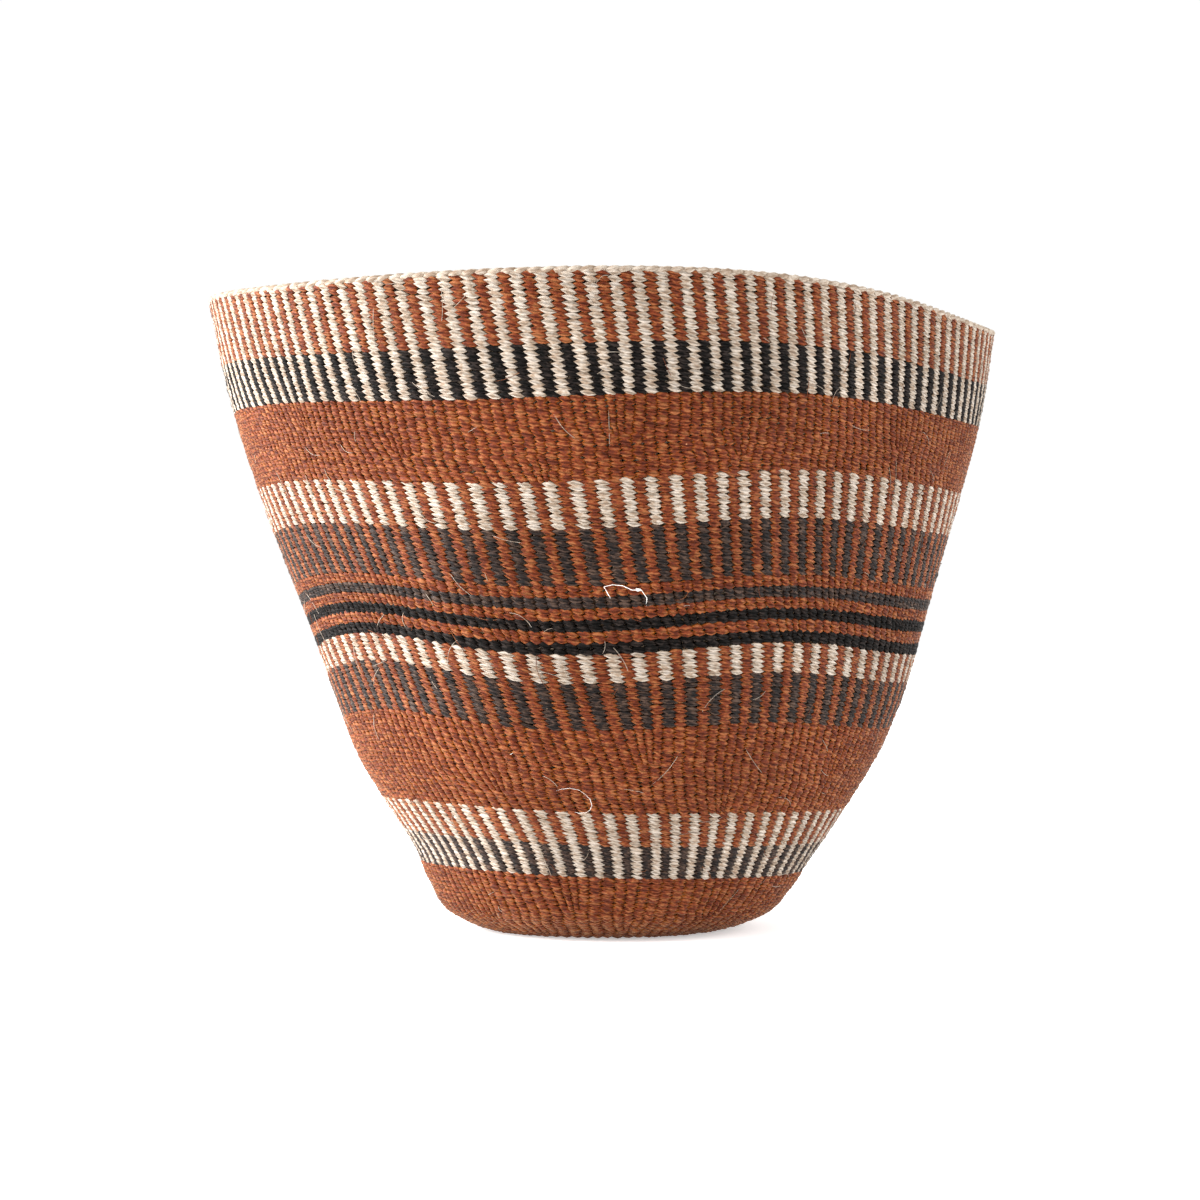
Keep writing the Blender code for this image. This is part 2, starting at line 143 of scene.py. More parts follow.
@dataclass(frozen=True)
class SisalFinish:
    """Two-ply sisal cord, spun by hand from long leaf fibres and twined as it is or dyed.

    The fibres lie along the cord, so the eye sees fine streaks along each stitch, a dull sheen
    on the ridges and single paler fibres that took less dye. The material paints shade where the
    cord dives between its neighbours, with darker, more saturated colour and weaker specular and
    sheen, and paints the groove between its plies darker and less glossy.
    """

    title: str
    deep: str
    body: str
    pale: str
    fleck: str
    fleck_share: float
    fuzz: str
    sheen: float
    # How bright the cord is painted where it dives between its neighbours: painted shade.
    hidden_shade: float
    specular: float = 0.18
    roughness: float = 0.60
    # How much more saturated the colour is painted where the cord dives: painted shade.
    painted_shade_saturation: float = 1.50
    sheen_roughness: float = 0.30
    fibre_width_mm: float = 0.55
    fibre_length_mm: float = 3.0
    cord_round_mm: float = 5.0
    patch_mm: float = 45.0
    tint_spread: float = 0.18
    bump_height: float = 0.00036
    # Width of the ply groove, how dark it is painted as shade, and how far it wanders across the cord.
    groove_width: float = 0.065
    groove_shade: float = 0.45
    groove_wander: float = 0.16

    def material(self) -> bpy.types.Material:
        """Build the cord's node material.

        Returns:
            The material, which reads the strand map, the tint attribute and Object coordinates.
        """
        found = bpy.data.materials.get(self.title)
        if found:
            return found
        material = bpy.data.materials.new(self.title)
        material.use_nodes = True
        tree = material.node_tree
        tree.nodes.clear()
        strand = add_node(tree, "ShaderNodeUVMap", {"uv_map": STRAND_MAP})
        tint = add_node(tree, "ShaderNodeAttribute", {"attribute_name": TINT})
        split = add_node(tree, "ShaderNodeSeparateXYZ", links={0: strand.outputs["UV"]})
        groove = self.ply_groove(tree, split, tint)
        fibres = self.streaks(tree, split, tint, 1.0)
        flecks = self.streaks(tree, split, tint, 1.6)
        ramp = add_node(tree, "ShaderNodeValToRGB", links={0: fibres.outputs[0]})
        ramp.color_ramp.elements[0].position = 0.40
        ramp.color_ramp.elements[0].color = linear_colour(self.deep)
        ramp.color_ramp.elements[1].position = 0.61
        ramp.color_ramp.elements[1].color = linear_colour(self.pale)
        middle = ramp.color_ramp.elements.new(0.50)
        middle.color = linear_colour(self.body)
        edge = 1.0 - self.fleck_share
        chosen = add_node(
            tree, "ShaderNodeMapRange",
            values={"From Min": edge, "From Max": edge + 0.06, "To Max": 0.75},
            links={0: flecks.outputs[0]},
        )
        flecked = add_node(
            tree, "ShaderNodeMix", {"data_type": "RGBA"},
            values={7: linear_colour(self.fleck)},
            links={0: chosen.outputs[0], 6: ramp.outputs[0]},
        )
        place = add_node(tree, "ShaderNodeTexCoord")
        patches = add_node(
            tree, "ShaderNodeTexNoise",
            values={"Scale": 1 / (self.patch_mm * MILLIMETRE), "Detail": 2.0},
            links={0: place.outputs["Object"]},
        )
        shade = add_node(
            tree, "ShaderNodeMapRange",
            values={"To Min": 1 - self.tint_spread / 2, "To Max": 1 + self.tint_spread / 2},
            links={0: tint.outputs["Fac"]},
        )
        patch = add_node(
            tree, "ShaderNodeMapRange",
            values={"From Min": 0.3, "From Max": 0.7, "To Min": 0.88, "To Max": 1.12},
            links={0: patches.outputs[0]},
        )
        # Painted shade: where the cord dives between its neighbours, its colour is darkened towards
        # hidden_shade.
        ridge = add_node(tree, "ShaderNodeAttribute", {"attribute_name": RIDGE})
        painted_hidden_shade = add_node(
            tree, "ShaderNodeMapRange",
            values={"From Min": 0.25, "From Max": 0.75, "To Min": self.hidden_shade},
            links={0: ridge.outputs["Fac"]},
        )
        mottle = add_node(
            tree, "ShaderNodeMath", {"operation": "MULTIPLY"},
            links={0: shade.outputs[0], 1: patch.outputs[0]},
        )
        value = add_node(
            tree, "ShaderNodeMath", {"operation": "MULTIPLY"},
            links={0: mottle.outputs[0], 1: painted_hidden_shade.outputs[0]},
        )
        # Painted shade in the groove between the plies: the colour is darkened there.
        painted_groove_shade = add_node(
            tree, "ShaderNodeMapRange", values={"To Min": self.groove_shade},
            links={0: groove.outputs[0]},
        )
        # Random tone times the painted shade where the cord dives and in the ply groove.
        lined = add_node(
            tree, "ShaderNodeMath", {"operation": "MULTIPLY"},
            links={0: value.outputs[0], 1: painted_groove_shade.outputs[0]},
        )
        # Painted shade: the colour is also drawn more saturated where the cord dives.
        rich = add_node(
            tree, "ShaderNodeMapRange",
            values={"From Min": 0.25, "From Max": 0.75, "To Min": self.painted_shade_saturation, "To Max": 1.0},
            links={0: ridge.outputs["Fac"]},
        )
        shaded = add_node(
            tree, "ShaderNodeHueSaturation",
            links={
                "Value": lined.outputs[0], "Saturation": rich.outputs[0],
                "Color": flecked.outputs[2],
            },
        )
        relief = add_node(
            tree, "ShaderNodeMath", {"operation": "ADD"},
            links={0: fibres.outputs[0], 1: groove.outputs[0]},
        )
        bump = add_node(
            tree, "ShaderNodeBump",
            values={"Strength": 0.8, "Distance": self.bump_height},
            links={"Height": relief.outputs[0]},
        )
        # Specular and sheen weights follow the random tone and the painted shade, so the cord is painted less
        # glossy where it dives and in the ply groove.
        gloss = add_node(
            tree, "ShaderNodeMath", {"operation": "MULTIPLY"},
            values={1: self.specular}, links={0: lined.outputs[0]},
        )
        fuzz = add_node(
            tree, "ShaderNodeMath", {"operation": "MULTIPLY"},
            values={1: self.sheen}, links={0: lined.outputs[0]},
        )
        shader = add_node(
            tree, "ShaderNodeBsdfPrincipled",
            values={
                "Roughness": self.roughness, "Sheen Roughness": self.sheen_roughness,
                "Sheen Tint": linear_colour(self.fuzz),
            },
            links={
                "Base Color": shaded.outputs[0], "Normal": bump.outputs[0],
                "Specular IOR Level": gloss.outputs[0], "Sheen Weight": fuzz.outputs[0],
            },
        )
        add_node(tree, "ShaderNodeOutputMaterial", links={"Surface": shader.outputs[0]})
        return material

    def streaks(
        self,
        tree: bpy.types.NodeTree,
        split: bpy.types.Node,
        tint: bpy.types.Node,
        fineness: float,
    ) -> bpy.types.Node:
        """Add a noise drawn out along the cord, as its fibres are.

        Args:
            tree: The material's node tree.
            split: The node that gives the place along and round the cord.
            tint: The node that gives each stitch its own number.
            fineness: How much finer than the finish's fibre width the streaks are.

        Returns:
            The noise node.
        """
        along = add_node(
            tree, "ShaderNodeMath", {"operation": "MULTIPLY"},
            values={1: fineness / self.fibre_length_mm}, links={0: split.outputs[0]},
        )
        across = add_node(
            tree, "ShaderNodeMath", {"operation": "MULTIPLY"},
            values={1: fineness * self.cord_round_mm / self.fibre_width_mm / 2},
            links={0: split.outputs[1]},
        )
        own = add_node(
            tree, "ShaderNodeMath", {"operation": "MULTIPLY"},
            values={1: 61.0 * fineness}, links={0: tint.outputs["Fac"]},
        )
        place = add_node(
            tree, "ShaderNodeCombineXYZ",
            links={0: along.outputs[0], 1: across.outputs[0], 2: own.outputs[0]},
        )
        return add_node(
            tree, "ShaderNodeTexNoise", values={"Scale": 1.0, "Detail": 3.0, "Roughness": 0.6},
            links={0: place.outputs[0]},
        )


    def ply_groove(
        self, tree: bpy.types.NodeTree, split: bpy.types.Node, tint: bpy.types.Node
    ) -> bpy.types.Node:
        """Add the line along each stitch where the cord's two plies meet.

        Args:
            tree: The material's node tree.
            split: The node that gives the place along and round the cord.
            tint: The node that gives each stitch its own number.

        Returns:
            The node that gives 0 in the groove and 1 beside it.
        """
        place = add_node(
            tree, "ShaderNodeMath", {"operation": "MULTIPLY_ADD"},
            values={1: self.groove_wander, 2: 0.5 - self.groove_wander / 2},
            links={0: tint.outputs["Fac"]},
        )
        away = add_node(
            tree, "ShaderNodeMath", {"operation": "SUBTRACT"},
            links={0: split.outputs[1], 1: place.outputs[0]},
        )
        beside = add_node(tree, "ShaderNodeMath", {"operation": "ABSOLUTE"}, links={0: away.outputs[0]})
        return add_node(
            tree, "ShaderNodeMapRange", {"interpolation_type": "SMOOTHSTEP"},
            values={"From Max": self.groove_width}, links={0: beside.outputs[0]},
        )


class Dye(Enum):
    """The cords that the basket is made of, each with its finish."""

    NATURAL = SisalFinish(
        "sisal cord, undyed", "847160", "988b7d", "a89d92", "7b604b", 0.22, "fff1e0", 0.12, 0.62, 0.12,
        groove_shade=0.60,
    )
    RIM = SisalFinish("sisal cord, undyed, of the rim", "766454", "8c7e70", "a19689", "735742", 0.22, "fff1e0", 0.12, 0.60, 0.12)
    RUST = SisalFinish("sisal cord, dyed rust", "491803", "632707", "7c4826", "c08a64", 0.26, "f4c08c", 0.32, 0.40, 0.16)
    BLACK = SisalFinish("sisal cord, dyed black", "030201", "0b0706", "251e1b", "857462", 0.24, "6a5d52", 0.05, 0.16, 0.08)
    CHARCOAL = SisalFinish("sisal cord, dyed charcoal", "090403", "1f120d", "423127", "8c725b", 0.30, "8a7460", 0.14, 0.16)
    THREAD = SisalFinish("cotton thread, white", "d8d4cc", "f2f0ea", "ffffff", "ffffff", 0.2, "ffffff", 0.2, 0.5)

    def material(self) -> bpy.types.Material:
        """The material of this cord."""
        return self.value.material()


@dataclass
class BasketForm:
    """The basket's surface, in the same sizes as its solids."""

    mouth_width: float = 0.300
    mouth_depth: float = 0.290
    rest_width: float = 0.088
    rest_depth: float = 0.084
    height: float = 0.240
    wall_thickness: float = 0.0046
    rim_height: float = 0.0028
    rim_overhang: float = 0.0004
    piece_gap: float = 0.0003
    wall_lean: float = 0.0065
    foot_tilt: float = 0.0015
    left_rise: float = 0.0080
    right_rise: float = 0.0045
    front_dip: float = 0.0022
    corner_drop: float = 0.0130
    mouth_skew: float = 0.035
    slope_step: float = 0.002
    around_steps: int = 36
    arc_samples: int = 6000
    profile: Table = field(default_factory=lambda: [
        (0.000, 0.000), (0.004, 0.038), (0.019, 0.127), (0.0675, 0.236), (0.115, 0.294),
        (0.195, 0.412), (0.276, 0.523), (0.356, 0.600), (0.516, 0.719), (0.676, 0.838),
        (0.837, 0.936), (1.000, 1.000),
    ])
    lean: Table = field(default_factory=lambda: [
        (0.00, 0.00), (0.12, 0.45), (0.24, 0.55), (0.36, 0.75), (0.60, 0.50), (0.84, 0.20),
        (1.00, 0.00),
    ])
    tilt: Table = field(default_factory=lambda: [
        (0.00, 0.00), (0.06, 1.00), (0.30, 1.00), (0.50, 0.00), (1.00, 0.00),
    ])
    left: Table = field(default_factory=lambda: [
        (0.00, 0.00), (0.10, 0.05), (0.25, 0.30), (0.36, 0.95), (0.46, 1.00), (0.56, 0.70),
        (0.70, 0.35), (0.82, 0.10), (0.90, -0.15), (1.00, -0.30),
    ])
    right: Table = field(default_factory=lambda: [
        (0.00, 0.00), (0.15, 0.05), (0.25, 0.30), (0.36, 0.95), (0.46, 1.10), (0.56, 0.90),
        (0.70, 0.90), (0.82, 0.45), (0.90, 0.20), (1.00, 0.00),
    ])
    dip: Table = field(default_factory=lambda: [
        (0.00, 0.00), (0.25, 0.00), (0.36, 0.35), (0.60, 0.65), (0.82, 0.95), (0.90, 1.00),
        (1.00, 0.50),
    ])
    drop: Table = field(default_factory=lambda: [
        (0.00, 0.00), (0.50, 0.10), (0.70, 0.15), (0.82, 0.45), (0.90, 0.65), (1.00, 1.00),
    ])
    humps: dict[str, tuple[float, float]] = field(default_factory=lambda: {
        "left": (-141.0, 27.0), "right": (-58.0, 26.0), "dip": (-114.0, 28.0), "drop": (-14.0, 37.0),
    })

    def __post_init__(self) -> None:
        """Work out the wall's top, the way along the wall's section, and the centre."""
        self.wall_top = (self.height - self.rim_height - self.piece_gap) / self.height
        shares = np.linspace(-1.0, 1.0, self.arc_samples)
        half_width, _, height = self.half_sizes(shares)
        steps = np.hypot(np.diff(half_width), np.diff(height))
        self.arc_shares = shares
        self.arcs = np.concatenate([[0.0], np.cumsum(steps)])
        self.centre = np.zeros(3)
        turns = np.arange(self.around_steps) * FULL_TURN / self.around_steps
        ring = self.points(turns, np.full_like(turns, self.wall_top), -self.rim_overhang)
        self.centre = (ring.min(axis=0) + ring.max(axis=0)) / 2 * [1, 1, 0]

    def hump(self, angle: np.ndarray, name: str) -> np.ndarray:
        """One smooth hump round the basket, 1 at its centre."""
        centre, spread = self.humps[name]
        turn = np.angle(np.exp(1j * (angle - math.radians(centre))))
        return np.exp(-((turn / math.radians(spread)) ** 2))

    def row_rise(self, angle: np.ndarray, share: np.ndarray) -> np.ndarray:
        """How far the handmade rows rise above a level line."""
        rise = -self.foot_tilt * read_table(self.tilt, share) * np.cos(angle)
        rise = rise + self.left_rise * read_table(self.left, share) * self.hump(angle, "left")
        rise = rise + self.right_rise * read_table(self.right, share) * self.hump(angle, "right")
        rise = rise - self.front_dip * read_table(self.dip, share) * self.hump(angle, "dip")
        return rise - self.corner_drop * read_table(self.drop, share) * self.hump(angle, "drop")

    def half_sizes(self, share: np.ndarray) -> tuple[np.ndarray, np.ndarray, np.ndarray]:
        """Half width, half depth and height of the outer surface; below 0 is the base."""
        grown = read_table(self.profile, np.maximum(share, 0.0))
        half_width = (self.rest_width + (self.mouth_width - self.rest_width) * grown) / 2
        half_depth = (self.rest_depth + (self.mouth_depth - self.rest_depth) * grown) / 2
        narrow = 1 + np.minimum(share, 0.0)
        return half_width * narrow, half_depth * narrow, self.height * np.maximum(share, 0.0)

    def points(self, angle: np.ndarray, share: np.ndarray, depth: np.ndarray | float) -> np.ndarray:
        """Points in the wall or base.

        Args:
            angle: Angle round the basket, in radians from +X.
            share: Share of the height, or from -1 to 0 across the base.
            depth: How deep each point lies below the outer surface.

        Returns:
            One point a row.
        """
        half_width, half_depth, height = self.half_sizes(share)
        low = self.half_sizes(np.maximum(share - self.slope_step, -1.0))
        high = self.half_sizes(share + self.slope_step)
        run, climb = high[0] - low[0], high[2] - low[2]
        length = np.hypot(run, climb)
        outward, upward = -climb / length, run / length
        grown = read_table(self.profile, np.maximum(share, 0.0))
        skew = 1 + self.mouth_skew * grown**2 * np.sin(2 * angle)
        lean = self.wall_lean * read_table(self.lean, np.maximum(share, 0.0))
        x = np.cos(angle) * (half_width * skew + outward * depth) + lean
        y = np.sin(angle) * (half_depth * skew + outward * depth)
        z = height + self.row_rise(angle, share) + upward * depth
        return np.stack([x, y, z], axis=-1) - self.centre

    def arc_at(self, share: float) -> float:
        """Distance along the wall's section from the base's centre to a share of the height."""
        return float(np.interp(share, self.arc_shares, self.arcs))

    def wall(self, angle: np.ndarray, arc: np.ndarray, depth: np.ndarray | float) -> np.ndarray:
        """Points in the wall by their distance along its section from the base's centre."""
        return self.points(angle, np.interp(arc, self.arcs, self.arc_shares), depth)


@dataclass(frozen=True)
class Band:
    """Rows of twining in one pair of strands.

    Attributes:
        node: The solid that holds the band's front strands.
        top: Share of the height at its top edge; below 0 it is on the base.
        rows: How many rows it has.
        dyes: The two strands, which take turns in front.
        slot: The record's material slot.
        pairs: Pairs of warp cords at its top edge.
        growing: Whether warp cords are added inside it.
    """

    node: str
    top: float
    rows: int
    dyes: tuple[Dye, Dye]
    slot: str
    pairs: int
    growing: bool = False


NATURAL_RUST = (Dye.NATURAL, Dye.RUST)
NATURAL_BLACK = (Dye.NATURAL, Dye.BLACK)
NATURAL_CHARCOAL = (Dye.NATURAL, Dye.CHARCOAL)
CHARCOAL_RUST = (Dye.CHARCOAL, Dye.RUST)
ALL_RUST = (Dye.RUST, Dye.RUST)
ALL_BLACK = (Dye.BLACK, Dye.BLACK)
ALL_CHARCOAL = (Dye.CHARCOAL, Dye.CHARCOAL)

BANDS = [
    Band("base_start_knot", 0.010 / 0.044 - 1, 5, ALL_RUST, "sisal_rust", 10, True),
    Band("base_twining", 0.0, 17, ALL_RUST, "sisal_rust", 36, True),
    Band("band_rust_foot", 0.102, 22, ALL_RUST, "sisal_rust", 52, True),
    Band("band_natural_black_foot", 0.152, 8, NATURAL_CHARCOAL, "sisal_natural_and_black", 69),
    Band("band_natural_rust_foot", 0.203, 8, NATURAL_RUST, "sisal_natural_and_rust", 69),
    Band("band_rust_lower", 0.328, 18, ALL_RUST, "sisal_rust", 78, True),
    Band("band_charcoal_rust_lower", 0.398, 10, CHARCOAL_RUST, "sisal_charcoal_and_rust", 78),
    Band("band_natural_rust_middle", 0.441, 6, NATURAL_RUST, "sisal_natural_and_rust", 78),
    Band("line_black_lower", 0.458, 2, ALL_BLACK, "sisal_black", 83, True),
    Band("line_rust_lower", 0.475, 2, ALL_RUST, "sisal_rust", 88, True),
    Band("line_black_upper", 0.492, 2, ALL_BLACK, "sisal_black", 93, True),
    Band("line_rust_middle", 0.509, 2, ALL_RUST, "sisal_rust", 97, True),
    Band("line_charcoal", 0.526, 2, ALL_CHARCOAL, "sisal_charcoal", 98),
    Band("line_rust_upper", 0.543, 2, ALL_RUST, "sisal_rust", 98),
    Band("band_charcoal_rust_upper", 0.626, 10, CHARCOAL_RUST, "sisal_charcoal_and_rust", 98),
    Band("band_natural_rust_upper", 0.696, 9, NATURAL_RUST, "sisal_natural_and_rust", 98),
    Band("band_rust_upper", 0.818, 15, ALL_RUST, "sisal_rust", 115, True),
    Band("band_natural_black_upper", 0.894, 9, NATURAL_BLACK, "sisal_natural_and_black", 115),
    Band("band_natural_rust_rim", 1.0, 12, NATURAL_RUST, "sisal_natural_and_rust", 115),
]

INNER_ENDS = {
    "inner_floor_and_foot": "band_rust_foot",
    "inner_foot_bands": "band_natural_rust_foot",
    "inner_lower_bands": "band_natural_rust_middle",
    "inner_lines": "line_rust_upper",
    "inner_upper_bands": "band_rust_upper",
    "inner_rim_bands": "band_natural_rust_rim",
}
INNER_SLOTS = {
    "inner_floor_and_foot": "sisal_rust",
    "inner_foot_bands": "sisal_natural_and_black",
    "inner_lower_bands": "sisal_charcoal_and_rust",
    "inner_lines": "sisal_black",
    "inner_upper_bands": "sisal_rust",
    "inner_rim_bands": "sisal_natural_and_rust",
}


@dataclass
class Row:
    """One turn of twining.

    Attributes:
        band: The band that it belongs to.
        arc: Distance along the wall's section from the base's centre to the row's middle.
        pitch: Distance from this row to the next.
        angles: Angle of each warp cord where the row crosses it, in turn round the basket.
    """

    band: Band
    arc: float
    pitch: float
    angles: np.ndarray


@dataclass
class Grain:
    """The shape of one stitch, a pointed length of two-ply cord, as arrays to lay copies of."""

    points: np.ndarray
    corners: np.ndarray
    starts: np.ndarray
    strand: np.ndarray


@dataclass
class GrainShape:
    """Sizes of a stitch's shape, as shares of its half length, half height and half depth."""

    around: int
    along: int
    shoulder_place: float = 0.50
    shoulder_size: float = 0.60
    groove: float = 0.0
    ply_turn: float = 0.0

    def build(self) -> Grain:
        """Shape a sphere into a stitch that lies along X and faces Z.

        Returns:
            The stitch's arrays.
        """
        shape = bmesh.new()
        bmesh.ops.create_uvsphere(shape, u_segments=self.around, v_segments=self.along, radius=1.0)
        quarter = Matrix.Rotation(math.pi / 2, 3, "Y")
        bmesh.ops.rotate(shape, verts=shape.verts[:], cent=(0, 0, 0), matrix=quarter)
        crown = math.pi / 2
        for corner in shape.verts:
            x, y, z = corner.co
            size = math.hypot(y, z)
            turn = math.atan2(z, y)
            if size > 1e-4:
                dent = self.groove * math.exp(-(((turn - crown) / 0.4) ** 2))
                is_shoulder = abs(x) > 0.1
                x = math.copysign(self.shoulder_place, x) if is_shoulder else 0.0
                size = (self.shoulder_size if is_shoulder else 1.0) * (1 - dent)
                turn += self.ply_turn * x
                corner.co = (x, size * math.cos(turn), size * math.sin(turn))
        bmesh.ops.recalc_face_normals(shape, faces=shape.faces[:])
        shape.verts.index_update()
        corners, starts, strand = [], [], []
        for face in shape.faces:
            starts.append(len(corners))
            turns = [
                (math.atan2(v.co.z, v.co.y) / FULL_TURN + 0.25) % 1.0 if abs(v.co.x) < 0.999 else None
                for v in face.verts
            ]
            known = [turn for turn in turns if turn is not None]
            if max(known) - min(known) > 0.5:
                known = [turn + 1 if turn < 0.5 else turn for turn in known]
                turns = [turn + 1 if turn is not None and turn < 0.5 else turn for turn in turns]
            tip = sum(known) / len(known)
            for vertex, turn in zip(face.verts, turns):
                corners.append(vertex.index)
                strand.append((vertex.co.x, tip if turn is None else turn))
        points = np.array([vertex.co[:] for vertex in shape.verts])
        shape.free()
        return Grain(points, np.array(corners), np.array(starts), np.array(strand))


@dataclass(frozen=True)
class StitchLay:
    """How the stitches of one side of the wall lie.

    Attributes:
        middle: Depth of a stitch's middle below the outer surface.
        crown: Half depth of a stitch, with the sign that turns its crown to the open side.
        dive: How much deeper its tips lie, in bands of two dyes.
        rib_dive: How much deeper its tips lie in bands of one dye, which look ribbed.
        slant: Drop from left tip to right tip, in rows, as the angle round the basket grows.
        swapped: Whether the other strand of the pair shows.
    """

    middle: float
    crown: float
    dive: float
    rib_dive: float
    slant: float
    swapped: bool


@dataclass
class Twining:
    """The rows of twining and the warp cords that they hold."""

    form: BasketForm
    seed: int = 11
    length_share: float = 1.46
    height_share: float = 0.70
    plain_height: float = 1.12
    plain_slant: float = 0.85
    added_by_share: float = 0.7
    twist: Table = field(default_factory=lambda: [
        (0.00, -1.20), (0.10, -2.00), (0.20, -2.70), (0.35, -1.80), (0.43, -1.40), (0.56, -1.05),
        (0.70, -0.95), (0.85, -0.95), (1.00, -0.90),
    ])
    first_pairs: int = 2
    seam: float = math.pi / 2
    phase: float = 0.010
    top_rise: float = 0.0016
    settling: float = 0.12
    settling_by_added: float = 0.03
    spread_ratio: float = 0.618034
    turn_samples: int = 720
    wander_share: float = 0.05
    bunches: list[tuple[float, float, float]] = field(default_factory=lambda: [
        (-140.0, 16.0, 0.22), (-60.0, 18.0, 0.08),
    ])
    outer: StitchLay = StitchLay(0.00090, 0.00100, -0.00030, 0.00018, 0.52, False)
    inner: StitchLay = StitchLay(0.00370, -0.00090, -0.00012, -0.00030, -0.60, True)
    warp_depth: float = 0.0023
    warp_radius: float = 0.0008
    warp_spread: float = 3.6
    warp_reach: float = 0.45
    warps_start: float = -0.6
    rows_per_point: int = 4

    def __post_init__(self) -> None:
        """Lay out the rows from the base's centre to the rim."""
        self.random = np.random.default_rng(self.seed)
        self.rows = self.lay_out_rows()
        self.outer_grain = GrainShape(8, 4, groove=0.12, ply_turn=0.3).build()
        self.inner_grain = GrainShape(6, 3, shoulder_place=0.42, shoulder_size=0.92).build()

    def lay_out_rows(self) -> list[Row]:
        """Follow the warp cords outward row by row, adding cords where they spread.

        Returns:
            Every row, from the base's centre up.
        """
        count = 2 * self.first_pairs
        angles = self.seam + np.arange(count) * FULL_TURN / count
        wander = np.zeros(count)
        rows = []
        low = 0.0
        pairs_before = self.first_pairs
        height_before = 0.0
        for band in BANDS:
            high = self.form.arc_at(min(band.top, self.form.wall_top))
            high += self.top_rise if band is BANDS[-1] else 0.0
            pitch = (high - low) / band.rows
            for index in range(band.rows):
                done = (index + 1) / band.rows / self.added_by_share if band.growing else 1.0
                pairs = round(pairs_before + (band.pairs - pairs_before) * min(done, 1.0))
                added = 2 * pairs - len(angles)
                angles, wander = self.add_warps(angles, wander, 2 * pairs)
                settled = min(self.settling + self.settling_by_added * added, 1.0)
                angles = angles + settled * (self.even_lay(angles) - angles)
                arc = low + (index + 0.5) * pitch
                share = float(np.interp(arc, self.form.arcs, self.form.arc_shares))
                height = self.form.height * max(share, 0.0)
                twist = float(read_table(self.twist, np.array(share)))
                angles = angles + twist * (height - height_before)
                height_before = height
                step = FULL_TURN / len(angles)
                rows.append(Row(band, arc, pitch, angles + wander * step + self.phase))
            low = high
            pairs_before = band.pairs
        return rows

    def even_lay(self, angles: np.ndarray) -> np.ndarray:
        """Find where the warp cords would lie if each had its fair room.

        Args:
            angles: The cords' angles.

        Returns:
            An angle for each cord, with as little turning of the whole as can be.
        """
        places = np.linspace(0, FULL_TURN, self.turn_samples + 1)
        middles = (places[1:] + places[:-1]) / 2
        filled = np.concatenate([[0.0], np.cumsum(1 / self.room(middles))])
        filled /= filled[-1]
        number = np.arange(len(angles)) / len(angles)
        turns = np.floor(angles / FULL_TURN)
        share = np.interp(angles - turns * FULL_TURN, places, filled) + turns
        fair = number + (share - number).mean()
        turns = np.floor(fair)
        return np.interp(fair - turns, filled, places) + turns * FULL_TURN

    def room(self, angle: np.ndarray) -> np.ndarray:
        """Share of the even spacing that the warp cords take here; they bunch at the corners."""
        room = np.ones_like(angle)
        for degrees, spread, bunching in self.bunches:
            turn = np.angle(np.exp(1j * (angle - math.radians(degrees))))
            room -= bunching * np.exp(-((turn / math.radians(spread)) ** 2))
        return room

    def add_warps(self, angles: np.ndarray, wander: np.ndarray, count: int) -> tuple[np.ndarray, np.ndarray]:
        """Add warp cords in pairs, spread all round.

        Args:
            angles: The cords' angles.
            wander: How far each cord strays from an even lay, in shares of the spacing.
            count: How many cords there should be.

        Returns:
            The new angles and strays.
        """
        while len(angles) < count:
            gaps = np.diff(np.append(angles, angles[0] + FULL_TURN))
            place = int(len(angles) * self.spread_ratio * (len(angles) / 2) % len(angles))
            fresh = angles[place] + gaps[place] * np.array([1 / 3, 2 / 3])
            angles = np.insert(angles, place + 1, fresh)
            wander = np.insert(wander, place + 1, self.random.normal(0, self.wander_share, 2))
        return angles, wander

    def stitches(self, rows: list[Row], lay: StitchLay, grain: Grain) -> "Copies":
        """Lay one stitch over every warp cord of some rows.

        Args:
            rows: The rows.
            lay: The side of the wall.
            grain: The stitch's shape.

        Returns:
            The copies' points, colours, strand map and tints.
        """
        centres, halves, arcs, pitches, colours, plains = [], [], [], [], [], []
        for row in rows:
            after = np.diff(np.append(row.angles, row.angles[0] + FULL_TURN))
            before = np.roll(after, 1)
            centres.append(row.angles + (after - before) / 4)
            halves.append((after + before) / 4 * self.length_share)
            number = np.arange(len(row.angles))
            spiral = number / len(number) - 0.5
            arcs.append(row.arc + row.pitch * (spiral + lay.swapped / 2))
            pitches.append(np.full(len(number), row.pitch))
            swap = (number + lay.swapped) % 2
            same = row.band.dyes[0] is row.band.dyes[1]
            plains.append(np.full(len(number), float(same)))
            colours.append(np.array([list(Dye).index(row.band.dyes[0 if same else k]) for k in swap]))
        centre, half, arc, pitch = (np.concatenate(part) for part in (centres, halves, arcs, pitches))
        colour, plain = np.concatenate(colours), np.concatenate(plains)
        count = len(centre)
        random = self.random
        row_wave = pitch * random.normal(0, 0.06, count)
        length = half * random.normal(1, 0.08, count)
        tall = pitch * self.height_share * random.normal(1, 0.08, count)
        tall *= np.interp(plain, [0, 1], [1, self.plain_height])
        thick = lay.crown * random.normal(1, 0.12, count)
        slant = lay.slant * random.normal(1, 0.25, count)
        slant *= np.interp(plain, [0, 1], [1, self.plain_slant])
        x, y, z = grain.points.T
        angle = centre[:, None] + length[:, None] * x
        offset = tall[:, None] * y - slant[:, None] * pitch[:, None] * x / 2
        along = arc + row_wave
        dive = np.interp(plain, [0, 1], [lay.dive, lay.rib_dive])
        depth = lay.middle - thick[:, None] * z + dive[:, None] * np.abs(x) ** 2
        place = np.maximum(along[:, None] + offset, 0.0)
